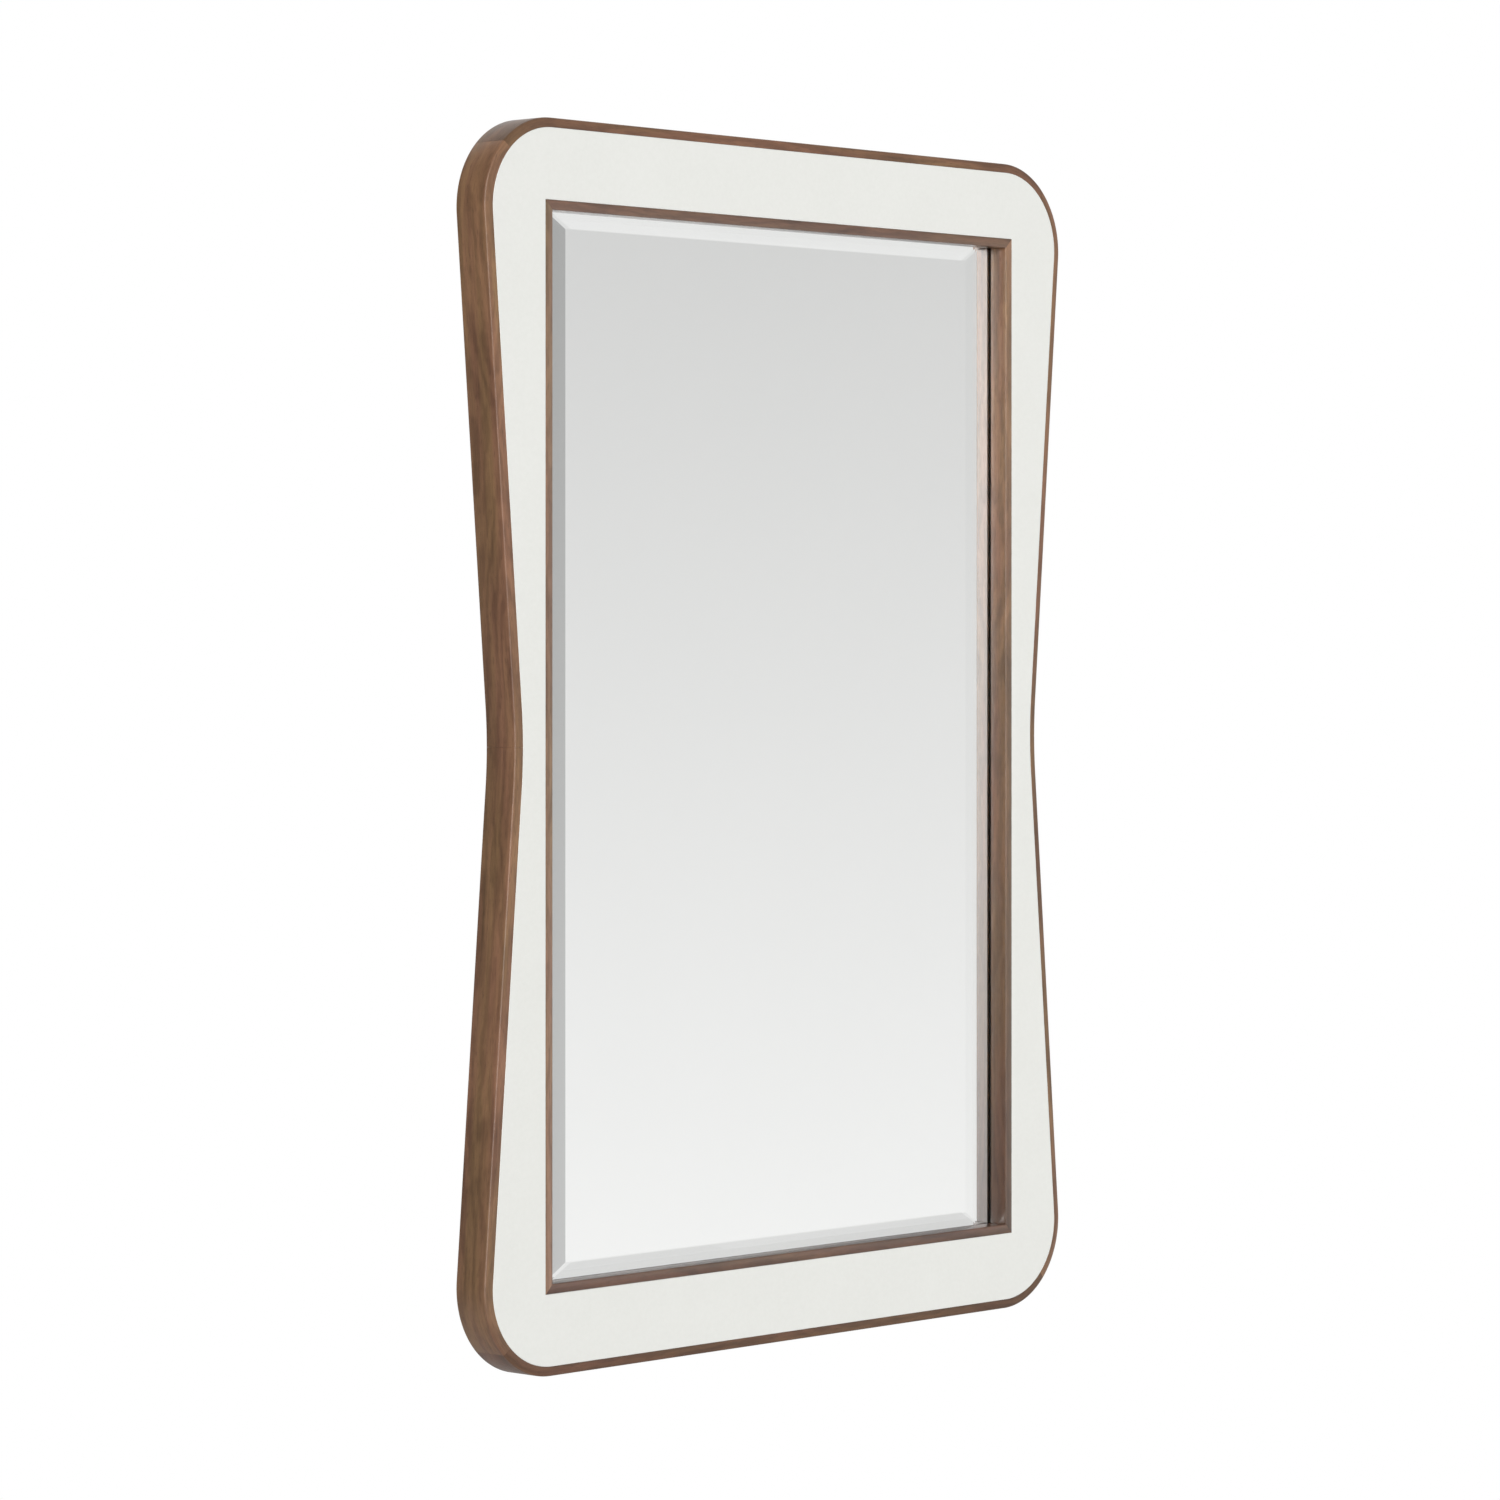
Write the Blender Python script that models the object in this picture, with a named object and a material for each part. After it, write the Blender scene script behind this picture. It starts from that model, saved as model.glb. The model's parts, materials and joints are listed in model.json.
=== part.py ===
"""Wall mirror with a waisted walnut and ivory frame.

A bevelled mirror plate sits behind a mitred walnut sight moulding. An ivory face panel surrounds the
moulding, and a walnut edge band in six lengths wraps a laminated core. The back is closed by a screwed
board and carries two strap hangers with swinging rings.

X is the width, Z the height, and the front faces -Y. The origin is the centre of the whole frame.
All sizes are in metres.
"""
import math

import bmesh
import bpy
from mathutils import Vector

# Frame outline
HEIGHT = 1.220
WIDTH = 0.862
WAIST_SET_IN = 0.0405
CORNER_RADIUS = 0.090
WAIST_RADIUS = 0.480
DEPTH = 0.041
GAP = 0.0003

# Walnut edge band
BAND_THICKNESS = 0.0095
BAND_FALL = 0.0018
BAND_FRONT_ARRIS = 0.0018
BAND_BACK_ARRIS = 0.0008
CORNER_JOINT_ANGLE = math.radians(45)

# Walnut sight moulding
SIGHT_LIP = 0.0095
SIGHT_DEPTH = 0.0210
SIGHT_ARRIS = 0.0012

# Face panel, with its width at the widest part of the frame, and laminated core
FACE_SIDE_WIDTH = 0.0715
FACE_TOP_WIDTH = 0.0705
FACE_THICKNESS = 0.006
CORE_FRONT_THICKNESS = 0.0147
CORE_REAR_THICKNESS = 0.0102

# Mirror plate: each lap is how far it reaches behind the sight moulding
PLATE_SIDE_LAP = 0.0025
PLATE_TOP_LAP = 0.0125
BEVEL_SIDE_WIDTH = 0.046
BEVEL_TOP_WIDTH = 0.0275
BEVEL_FALL = 0.0030
PLATE_THICKNESS = 0.006
PLATE_CLEARANCE = 0.0035
BLOCK_LENGTH = 0.050
BOTTOM_BLOCK_FROM_SIDE = 0.143
SIDE_BLOCK_FROM_END = 0.240
PAD_SIZE = 0.040
PAD_FROM_SIDE = 0.143
PAD_FROM_END = 0.210

# Backing board
BOARD_THICKNESS = 0.004
BOARD_OVERLAP = 0.014
BOARD_CORNER_RADIUS = 0.015
BOARD_SCREW_INSET = 0.007
SIDE_SCREW_COUNT = 4
SIDE_SCREW_FROM_END = 0.1375
TOP_SCREW_COUNT = 2
TOP_SCREW_FROM_SIDE = 0.1805

# Pan-head screws, the head's shape as shares of its radius and height
SHANK_RADIUS = 0.00175
HEAD_RADIUS = 0.0036
HEAD_HEIGHT = 0.0020
HEAD_SHAPE = ((1.0, 0.0), (1.0, 0.45), (0.84, 0.85), (0.45, 1.0))
POINT_SHARE = 0.2
BOARD_SCREW_LENGTH = 0.012
HANGER_SCREW_LENGTH = 0.010
PILOT_EXTRA = 0.001

# Strap hangers
HANGER_BELOW_TOP = 0.230
STRAP_WIDTH = 0.016
STRAP_DROP = 0.046
STRAP_THICKNESS = 0.0015
STRAP_SCREW_DROPS = (0.028, 0.040)
RING_WIRE_RADIUS = 0.00175
RING_CLEARANCE = 0.00035
RING_HALF_WIDTH = 0.0125
RING_DROP = 0.021
RING_CORNER_RADIUS = 0.003
KNUCKLE_WRAP = math.radians(300)

# Roundness of the faceted solids
CORNER_STEPS = 12
WAIST_STEPS = 8
ARRIS_STEPS = 3
TURNED_SIDES = 14

# Depths, from the front towards the wall
FRONT_Y = -DEPTH / 2
BACK_Y = DEPTH / 2
FACE_BACK_Y = FRONT_Y + FACE_THICKNESS
CORE_FRONT_Y = FACE_BACK_Y + GAP
CORE_MIDDLE_Y = CORE_FRONT_Y + CORE_FRONT_THICKNESS
SIGHT_BACK_Y = FRONT_Y + SIGHT_DEPTH
CORE_REAR_Y = max(CORE_MIDDLE_Y, SIGHT_BACK_Y) + GAP
CORE_BACK_Y = CORE_REAR_Y + CORE_REAR_THICKNESS
BOARD_Y = CORE_BACK_Y + GAP
BOARD_BACK_Y = BOARD_Y + BOARD_THICKNESS
STRAP_Y = CORE_BACK_Y + GAP
STRAP_BACK_Y = STRAP_Y + STRAP_THICKNESS

# Openings that follow from the sizes above
CORE_INSET = BAND_THICKNESS + GAP
SIGHT_SIDE_INSET = BAND_THICKNESS + FACE_SIDE_WIDTH
SIGHT_TOP_INSET = BAND_THICKNESS + FACE_TOP_WIDTH
SIGHT_HALF = Vector((WIDTH / 2 - SIGHT_SIDE_INSET, HEIGHT / 2 - SIGHT_TOP_INSET))
SIGHT_OPENING_HALF = SIGHT_HALF + Vector((GAP, GAP))
PLATE_HALF = SIGHT_HALF + Vector((PLATE_SIDE_LAP - SIGHT_LIP, PLATE_TOP_LAP - SIGHT_LIP))
FLAT_HALF = PLATE_HALF - Vector((BEVEL_SIDE_WIDTH, BEVEL_TOP_WIDTH))
PLATE_OPENING_HALF = PLATE_HALF + Vector((PLATE_CLEARANCE, PLATE_CLEARANCE))
BOARD_HALF = PLATE_OPENING_HALF + Vector((BOARD_OVERLAP, BOARD_OVERLAP))

# The bevel touches the back of the moulding where the least of it shows
SHOWN_BEVEL_SHARE = 1.0 - max(PLATE_SIDE_LAP / BEVEL_SIDE_WIDTH, PLATE_TOP_LAP / BEVEL_TOP_WIDTH)
PLATE_FLAT_Y = SIGHT_BACK_Y + GAP - BEVEL_FALL * SHOWN_BEVEL_SHARE
PLATE_BACK_Y = PLATE_FLAT_Y + PLATE_THICKNESS

# Hanger pivot
KNUCKLE_INNER = RING_WIRE_RADIUS + RING_CLEARANCE
KNUCKLE_OUTER = KNUCKLE_INNER + STRAP_THICKNESS
PIVOT_Y = STRAP_Y + KNUCKLE_OUTER
PIVOT_Z = HEIGHT / 2 - HANGER_BELOW_TOP

# Centres of the two circles that shape a quarter of the outline
CORNER_CENTRE = Vector((WIDTH / 2 - CORNER_RADIUS, HEIGHT / 2 - CORNER_RADIUS))
WAIST_CENTRE = Vector((WIDTH / 2 - WAIST_SET_IN + WAIST_RADIUS, 0.0))


def clear_scene():
    for item in list(bpy.data.objects):
        bpy.data.objects.remove(item, do_unlink=True)


def material(name, color, roughness, metallic=0.0):
    made = bpy.data.materials.new(name)
    made.use_nodes = True
    shader = made.node_tree.nodes["Principled BSDF"]
    shader.inputs["Base Color"].default_value = (*color, 1.0)
    shader.inputs["Roughness"].default_value = roughness
    shader.inputs["Metallic"].default_value = metallic
    return made


def add_mesh(name, bm, finish):
    """Turn a bmesh into a named object with its faces pointing out."""
    bmesh.ops.recalc_face_normals(bm, faces=bm.faces)
    mesh = bpy.data.meshes.new(name)
    bm.to_mesh(mesh)
    bm.free()
    mesh.materials.append(finish)
    made = bpy.data.objects.new(name, mesh)
    bpy.context.scene.collection.objects.link(made)
    return made


def arc(centre, radius, start, end, steps):
    """Points in a plane along an arc, from one angle to another."""
    points = []
    for i in range(steps + 1):
        angle = start + (end - start) * i / steps
        points.append(Vector((centre[0] + radius * math.cos(angle), centre[1] + radius * math.sin(angle))))
    return points


def rounded_corner(before, corner, after, radius, steps=ARRIS_STEPS):
    """Points that replace a sharp corner by an arc tangent to both of its sides."""
    to_before = (Vector(before) - Vector(corner)).normalized()
    to_after = (Vector(after) - Vector(corner)).normalized()
    half = to_before.angle(to_after) / 2
    centre = Vector(corner) + (to_before + to_after).normalized() * (radius / math.sin(half))
    first = Vector(corner) + to_before * (radius / math.tan(half)) - centre
    last = Vector(corner) + to_after * (radius / math.tan(half)) - centre
    turn = math.pi - 2 * half
    points = []
    for i in range(steps + 1):
        share = i / steps
        along = first * math.sin((1 - share) * turn) + last * math.sin(share * turn)
        points.append(centre + along / math.sin(turn))
    return points


def side_taper():
    """Angle between the straight stretch of a side and the vertical."""
    across, down = WAIST_CENTRE - CORNER_CENTRE
    reach = math.hypot(across, down)
    return math.atan2(-down, across) - math.acos((CORNER_RADIUS + WAIST_RADIUS) / reach)


def side_x(z, inset):
    """Distance from the middle to the straight stretch of a side, moved inward, at a height z."""
    taper = side_taper()
    reach = CORNER_RADIUS - inset + (z - CORNER_CENTRE[1]) * math.sin(taper)
    return CORNER_CENTRE[0] + reach / math.cos(taper)


def corner_arc(inset, start, end):
    return arc(CORNER_CENTRE, CORNER_RADIUS - inset, start, end, CORNER_STEPS)


def waist_arc(inset, end_angle=math.pi):
    start = math.pi - side_taper()
    return arc(WAIST_CENTRE, WAIST_RADIUS + inset, start, end_angle, WAIST_STEPS)


def mirror_points(points, x_sign, z_sign):
    return [Vector((p[0] * x_sign, p[1] * z_sign)) for p in points]


def outline(inset):
    """The whole outline, moved inward, as a closed loop of points."""
    quarter = corner_arc(inset, math.pi / 2, -side_taper()) + waist_arc(inset)
    right = quarter + mirror_points(quarter[:-1], 1, -1)[::-1]
    return right + mirror_points(right, -1, 1)[::-1]


def clip(points, axis, limit, keep_above):
    """Cut a closed loop of points with a vertical or horizontal line."""
    sign = 1 if keep_above else -1
    kept = []
    for here, there in zip(points, points[1:] + points[:1]):
        inside_here = sign * (here[axis] - limit) >= 0
        inside_there = sign * (there[axis] - limit) >= 0
        if inside_here:
            kept.append(here)
        if inside_here != inside_there:
            share = (limit - here[axis]) / (there[axis] - here[axis])
            kept.append(here.lerp(there, share))
    return kept


def rectangle(half_x, half_z, centre_x=0.0, centre_z=0.0):
    corners = ((-1, -1), (1, -1), (1, 1), (-1, 1))
    return [Vector((centre_x + half_x * sx, centre_z + half_z * sz)) for sx, sz in corners]


def plate(name, points, y_front, y_back, finish):
    """A flat piece: an outline in X and Z, extruded along Y."""
    bm = bmesh.new()
    face = bm.faces.new([bm.verts.new((p[0], y_front, p[1])) for p in points])
    moved = bmesh.ops.extrude_face_region(bm, geom=[face])["geom"]
    back = [item for item in moved if isinstance(item, bmesh.types.BMVert)]
    bmesh.ops.translate(bm, verts=back, vec=(0, y_back - y_front, 0))
    return add_mesh(name, bm, finish)


def loft(name, rings, finish):
    """Skin equal closed rings one after another and cap the two ends."""
    bm = bmesh.new()
    loops = [[bm.verts.new(point) for point in ring] for ring in rings]
    for one, two in zip(loops, loops[1:]):
        for i in range(len(one)):
            j = (i + 1) % len(one)
            bm.faces.new((one[i], one[j], two[j], two[i]))
    bm.faces.new(loops[0][::-1])
    bm.faces.new(loops[-1])
    return add_mesh(name, bm, finish)


def turned(name, profile, x, z, finish):
    """A round piece on an axis along Y, from (radius, y) pairs that start and end on its flat ends."""
    rings = []
    for radius, y in profile:
        ring = []
        for i in range(TURNED_SIDES):
            angle = 2 * math.pi * i / TURNED_SIDES
            ring.append((x + radius * math.cos(angle), y, z + radius * math.sin(angle)))
        rings.append(ring)
    return loft(name, rings, finish)


def drill(target, places, radius, y_from, y_to):
    """Cut round holes along Y through a piece, at (x, z) places."""
    bm = bmesh.new()
    for x, z in places:
        rim = arc((x, z), radius, 0, 2 * math.pi * (1 - 1 / TURNED_SIDES), TURNED_SIDES - 1)
        face = bm.faces.new([bm.verts.new((p[0], y_from, p[1])) for p in rim])
        moved = bmesh.ops.extrude_face_region(bm, geom=[face])["geom"]
        ends = [item for item in moved if isinstance(item, bmesh.types.BMVert)]
        bmesh.ops.translate(bm, verts=ends, vec=(0, y_to - y_from, 0))
    cutter = add_mesh(target.name + "_cutter", bm, target.data.materials[0])
    cutter.hide_render = True
    cutter.display_type = "WIRE"
    cut = target.modifiers.new("holes", "BOOLEAN")
    cut.operation = "DIFFERENCE"
    cut.solver = "EXACT"
    cut.object = cutter


def band_section():
    """Section of the edge band as (distance in from the outline, y)."""
    inner_front = Vector((BAND_THICKNESS, FRONT_Y))
    outer_front = Vector((0.0, FRONT_Y + BAND_FALL))
    outer_back = Vector((0.0, BACK_Y))
    inner_back = Vector((BAND_THICKNESS, BACK_Y))
    section = [inner_front]
    section += rounded_corner(inner_front, outer_front, outer_back, BAND_FRONT_ARRIS)
    section += rounded_corner(outer_front, outer_back, inner_back, BAND_BACK_ARRIS)
    section.append(inner_back)
    return section


def band_length(name, path_at, x_sign, z_sign, finish):
    """Carry the band's section along a path, which path_at gives for any distance in from the outline."""
    columns = [mirror_points(path_at(inset), x_sign, z_sign) for inset, y in band_section()]
    depths = [y for inset, y in band_section()]
    rings = []
    for i in range(len(columns[0])):
        rings.append([(column[i][0], y, column[i][1]) for column, y in zip(columns, depths)])
    return loft(name, rings, finish)


def add_edge_band(finish):
    joint_turn = GAP / (2 * (CORNER_RADIUS - BAND_THICKNESS))
    waist_turn = GAP / (2 * WAIST_RADIUS)

    def across(inset):
        half = corner_arc(inset, math.pi / 2, CORNER_JOINT_ANGLE + joint_turn)
        return mirror_points(half, -1, 1)[::-1] + half

    def down(inset):
        bend = corner_arc(inset, CORNER_JOINT_ANGLE - joint_turn, -side_taper())
        return bend + waist_arc(inset, math.pi - waist_turn)

    band_length("band_top", across, 1, 1, finish)
    band_length("band_bottom", across, 1, -1, finish)
    for side, x_sign in (("left", -1), ("right", 1)):
        band_length(f"band_{side}_upper", down, x_sign, 1, finish)
        band_length(f"band_{side}_lower", down, x_sign, -1, finish)


def add_face_panel(finish):
    """The ivory panel between the edge band and the sight moulding."""
    bm = bmesh.new()
    edges = []
    for loop in (outline(CORE_INSET), rectangle(*SIGHT_OPENING_HALF)):
        verts = [bm.verts.new((p[0], FRONT_Y, p[1])) for p in loop]
        edges += [bm.edges.new((a, b)) for a, b in zip(verts, verts[1:] + verts[:1])]
    bmesh.ops.triangle_fill(bm, edges=edges, use_beauty=True)
    moved = bmesh.ops.extrude_face_region(bm, geom=bm.faces[:])["geom"]
    back = [item for item in moved if isinstance(item, bmesh.types.BMVert)]
    bmesh.ops.translate(bm, verts=back, vec=(0, FACE_THICKNESS, 0))
    add_mesh("face_panel", bm, finish)


def add_sight_moulding(finish):
    """Four mitred bars around the sight opening."""
    outer_front = Vector((0.0, FRONT_Y))
    inner_front = Vector((SIGHT_LIP, FRONT_Y))
    inner_back = Vector((SIGHT_LIP, SIGHT_BACK_Y))
    outer_back = Vector((0.0, SIGHT_BACK_Y))
    section = [outer_front]
    section += rounded_corner(outer_front, inner_front, inner_back, SIGHT_ARRIS)
    section += [inner_back, outer_back]
    mitre_gap = GAP / math.sqrt(2)
    bars = (("top", 0, 1), ("bottom", 0, -1), ("left", 1, -1), ("right", 1, 1))
    for side, along, sign in bars:
        across = 1 - along
        rings = []
        for end in (-1, 1):
            ring = []
            for inset, y in section:
                place = [0.0, 0.0]
                place[along] = end * (SIGHT_HALF[along] - inset - mitre_gap)
                place[across] = sign * (SIGHT_HALF[across] - inset)
                ring.append((place[0], y, place[1]))
            rings.append(ring)
        loft(f"sight_moulding_{side}", rings, finish)


def add_front_core(finish):
    """Front layer of the core: full-height stiles with rails between them."""
    whole = outline(CORE_INSET)
    split = SIGHT_OPENING_HALF[0]
    level = SIGHT_OPENING_HALF[1]
    for side, sign in (("left", -1), ("right", 1)):
        stile = clip(whole, 0, sign * split, sign > 0)
        plate(f"core_front_stile_{side}", stile, CORE_FRONT_Y, CORE_MIDDLE_Y, finish)
    between = clip(clip(whole, 0, split - GAP, False), 0, GAP - split, True)
    for side, sign in (("top", 1), ("bottom", -1)):
        rail = clip(between, 1, sign * level, sign > 0)
        plate(f"core_front_rail_{side}", rail, CORE_FRONT_Y, CORE_MIDDLE_Y, finish)


def spread(reach, count):
    """Evenly spaced places from -reach to reach."""
    return [reach * (2 * i / (count - 1) - 1) for i in range(count)]


def board_screw_places():
    inset_x, inset_z = BOARD_HALF - Vector((BOARD_SCREW_INSET, BOARD_SCREW_INSET))
    heights = spread(BOARD_HALF[1] - SIDE_SCREW_FROM_END, SIDE_SCREW_COUNT)
    widths = spread(BOARD_HALF[0] - TOP_SCREW_FROM_SIDE, TOP_SCREW_COUNT)
    places = [(sign * inset_x, z) for sign in (-1, 1) for z in heights]
    places += [(x, sign * inset_z) for sign in (-1, 1) for x in widths]
    return places


def hanger_x():
    """Middle of the strip of core between the backing board and the edge band, at the hangers."""
    return (BOARD_HALF[0] + side_x(PIVOT_Z - STRAP_DROP, CORE_INSET)) / 2


def hanger_screw_places():
    x = hanger_x()
    return [(sign * x, PIVOT_Z - drop) for sign in (-1, 1) for drop in STRAP_SCREW_DROPS]


def add_rear_core(finish):
    """Rear layer of the core: full-width rails with stiles between them, drilled for the screws."""
    whole = outline(CORE_INSET)
    level = PLATE_OPENING_HALF[1]
    split = PLATE_OPENING_HALF[0]
    pilot = SHANK_RADIUS + GAP
    board_end = BOARD_BACK_Y - BOARD_SCREW_LENGTH - PILOT_EXTRA
    hanger_end = STRAP_BACK_Y - HANGER_SCREW_LENGTH - PILOT_EXTRA
    places = [(x, z, board_end) for x, z in board_screw_places()]
    places += [(x, z, hanger_end) for x, z in hanger_screw_places()]
    members = []
    for side, sign in (("top", 1), ("bottom", -1)):
        rail = clip(whole, 1, sign * level, sign > 0)
        made = plate(f"core_rear_rail_{side}", rail, CORE_REAR_Y, CORE_BACK_Y, finish)
        members.append((made, lambda x, z, sign=sign: sign * z > level))
    between = clip(clip(whole, 1, level - GAP, False), 1, GAP - level, True)
    for side, sign in (("left", -1), ("right", 1)):
        stile = clip(between, 0, sign * split, sign > 0)
        made = plate(f"core_rear_stile_{side}", stile, CORE_REAR_Y, CORE_BACK_Y, finish)
        members.append((made, lambda x, z, sign=sign: abs(z) < level and sign * x > split))
    for made, holds in members:
        inside = [place for place in places if holds(place[0], place[1])]
        deepest = min(place[2] for place in inside)
        drill(made, [place[:2] for place in inside], pilot, deepest, CORE_BACK_Y + PILOT_EXTRA)


def add_mirror_plate(finish):
    """The plate: a flat zone, a bevel all round and a thin edge."""
    edge_y = PLATE_FLAT_Y + BEVEL_FALL
    loops = ((FLAT_HALF, PLATE_FLAT_Y), (PLATE_HALF, edge_y), (PLATE_HALF, PLATE_BACK_Y))
    rings = [[(p[0], y, p[1]) for p in rectangle(*half)] for half, y in loops]
    loft("mirror_plate", rings, finish)


def add_plate_supports(rubber, foam):
    """Blocks that centre the plate in the core, and pads that press it forward."""
    y_front = CORE_REAR_Y + GAP
    half_length = BLOCK_LENGTH / 2
    half_thickness = PLATE_CLEARANCE / 2 - GAP
    low = -(PLATE_HALF[1] + PLATE_CLEARANCE / 2)
    out = PLATE_HALF[0] + PLATE_CLEARANCE / 2
    bottom_x = PLATE_HALF[0] - BOTTOM_BLOCK_FROM_SIDE
    side_z = PLATE_HALF[1] - SIDE_BLOCK_FROM_END
    pad_x, pad_z = PLATE_HALF - Vector((PAD_FROM_SIDE, PAD_FROM_END))
    for side, sign in (("left", -1), ("right", 1)):
        block = rectangle(half_length, half_thickness, sign * bottom_x, low)
        plate(f"setting_block_{side}", block, y_front, CORE_BACK_Y, rubber)
        for level, z_sign in (("lower", -1), ("upper", 1)):
            block = rectangle(half_thickness, half_length, sign * out, z_sign * side_z)
            plate(f"side_block_{side}_{level}", block, y_front, CORE_BACK_Y, rubber)
            pad = rectangle(PAD_SIZE / 2, PAD_SIZE / 2, sign * pad_x, z_sign * pad_z)
            plate(f"pressure_pad_{side}_{level}", pad, PLATE_BACK_Y + GAP, CORE_BACK_Y, foam)


def add_backing_board(finish):
    corners = rectangle(*BOARD_HALF)
    shape = []
    for i, corner in enumerate(corners):
        shape += rounded_corner(corners[i - 1], corner, corners[(i + 1) % 4], BOARD_CORNER_RADIUS)
    board = plate("backing_board", shape, BOARD_Y, BOARD_BACK_Y, finish)
    drill(board, board_screw_places(), SHANK_RADIUS + GAP, BOARD_Y - PILOT_EXTRA, BOARD_BACK_Y + PILOT_EXTRA)


def add_screw(name, x, z, seat_y, length, finish):
    """A pan-head screw driven from the back, its head resting on seat_y."""
    under = seat_y + GAP
    point = seat_y - length
    profile = [(SHANK_RADIUS * POINT_SHARE, point)]
    profile += [(SHANK_RADIUS, point + 2 * SHANK_RADIUS), (SHANK_RADIUS, under)]
    profile += [(HEAD_RADIUS * out, under + HEAD_HEIGHT * up) for out, up in HEAD_SHAPE]
    turned(name, profile, x, z, finish)


def add_screws(finish):
    for i, (x, z) in enumerate(board_screw_places()):
        add_screw(f"board_screw_{i + 1:02d}", x, z, BOARD_BACK_Y, BOARD_SCREW_LENGTH, finish)
    for i, (x, z) in enumerate(hanger_screw_places()):
        add_screw(f"hanger_screw_{i + 1}", x, z, STRAP_BACK_Y, HANGER_SCREW_LENGTH, finish)


def strap_section():
    """Side view of a strap as (y, z): a flat leg that rolls into a knuckle around the ring."""
    centre = (PIVOT_Y, PIVOT_Z)
    start = math.pi
    end = math.pi - KNUCKLE_WRAP
    outer = arc(centre, KNUCKLE_OUTER, start, end, CORNER_STEPS)
    inner = arc(centre, KNUCKLE_INNER, end, start, CORNER_STEPS)
    foot = PIVOT_Z - STRAP_DROP
    return [Vector((STRAP_Y, foot))] + outer + inner + [Vector((STRAP_BACK_Y, foot))]


def ring_path():
    """Centre line of a ring as (x, z) around its pivot: a straight bar on top and a round bow below."""
    bow_z = RING_HALF_WIDTH - RING_DROP
    corner = RING_CORNER_RADIUS
    inner = RING_HALF_WIDTH - corner
    path = arc((inner, -corner), corner, math.pi / 2, 0, 4)
    path += arc((0, bow_z), RING_HALF_WIDTH, 0, -math.pi, CORNER_STEPS)
    path += arc((-inner, -corner), corner, math.pi, math.pi / 2, 4)
    return path


def add_hanger(side, sign, steel):
    strap_x = sign * hanger_x()
    rings = []
    for end in (-1, 1):
        rings.append([(strap_x + end * STRAP_WIDTH / 2, p[0], p[1]) for p in strap_section()])
    strap = loft(f"hanger_strap_{side}", rings, steel)
    places = [(x, z) for x, z in hanger_screw_places() if x * sign > 0]
    drill(strap, places, SHANK_RADIUS + GAP, STRAP_Y - PILOT_EXTRA, STRAP_BACK_Y + PILOT_EXTRA)

    curve = bpy.data.curves.new(f"hanger_ring_{side}", "CURVE")
    curve.dimensions = "3D"
    curve.bevel_depth = RING_WIRE_RADIUS
    curve.bevel_resolution = 2
    curve.materials.append(steel)
    spline = curve.splines.new("POLY")
    path = ring_path()
    spline.points.add(len(path) - 1)
    for point, (x, z) in zip(spline.points, path):
        point.co = (x, 0.0, z, 1.0)
    spline.use_cyclic_u = True
    ring = bpy.data.objects.new(f"hanger_ring_{side}", curve)
    ring.location = (strap_x, PIVOT_Y, PIVOT_Z)
    bpy.context.scene.collection.objects.link(ring)


def main():
    clear_scene()
    walnut = material("walnut", (0.165, 0.098, 0.058), 0.45)
    ivory = material("ivory", (0.80, 0.80, 0.76), 0.60)
    core = material("core_timber", (0.52, 0.39, 0.25), 0.75)
    mirror = material("mirror_glass", (0.80, 0.82, 0.82), 0.05, 1.0)
    rubber = material("rubber", (0.03, 0.03, 0.03), 0.85)
    foam = material("foam", (0.25, 0.25, 0.26), 0.95)
    board = material("hardboard", (0.23, 0.14, 0.08), 0.80)
    steel = material("zinc_steel", (0.62, 0.62, 0.60), 0.35, 1.0)

    add_edge_band(walnut)
    add_face_panel(ivory)
    add_sight_moulding(walnut)
    add_front_core(core)
    add_rear_core(core)
    add_mirror_plate(mirror)
    add_plate_supports(rubber, foam)
    add_backing_board(board)
    add_screws(steel)
    for side, sign in (("left", -1), ("right", 1)):
        add_hanger(side, sign, steel)


main()
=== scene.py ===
"""Looks of the waisted walnut and ivory wall mirror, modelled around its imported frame."""
import json
import math

import bmesh
import bpy
from mathutils import Matrix, Vector


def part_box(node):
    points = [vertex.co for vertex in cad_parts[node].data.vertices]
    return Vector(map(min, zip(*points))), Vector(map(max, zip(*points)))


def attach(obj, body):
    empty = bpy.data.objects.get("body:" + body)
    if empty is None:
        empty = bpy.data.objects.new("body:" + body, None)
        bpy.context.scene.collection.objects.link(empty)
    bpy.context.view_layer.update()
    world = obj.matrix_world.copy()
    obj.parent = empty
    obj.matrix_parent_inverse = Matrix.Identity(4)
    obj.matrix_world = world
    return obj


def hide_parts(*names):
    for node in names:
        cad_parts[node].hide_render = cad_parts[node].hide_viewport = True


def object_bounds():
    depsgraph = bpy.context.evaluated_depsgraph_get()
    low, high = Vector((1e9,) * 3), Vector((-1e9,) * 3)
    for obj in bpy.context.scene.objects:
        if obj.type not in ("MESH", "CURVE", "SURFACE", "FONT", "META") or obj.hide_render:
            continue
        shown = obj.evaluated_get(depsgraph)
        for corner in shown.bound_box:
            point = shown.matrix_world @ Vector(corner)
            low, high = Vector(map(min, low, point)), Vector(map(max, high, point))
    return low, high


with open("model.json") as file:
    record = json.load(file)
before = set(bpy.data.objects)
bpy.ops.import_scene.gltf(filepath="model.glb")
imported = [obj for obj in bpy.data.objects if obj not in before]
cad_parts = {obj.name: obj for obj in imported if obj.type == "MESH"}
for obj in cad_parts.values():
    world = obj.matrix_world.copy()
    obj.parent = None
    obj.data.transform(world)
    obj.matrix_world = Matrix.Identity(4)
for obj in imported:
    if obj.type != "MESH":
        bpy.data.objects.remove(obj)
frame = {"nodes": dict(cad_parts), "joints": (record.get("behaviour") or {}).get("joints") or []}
cad_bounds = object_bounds()

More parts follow.
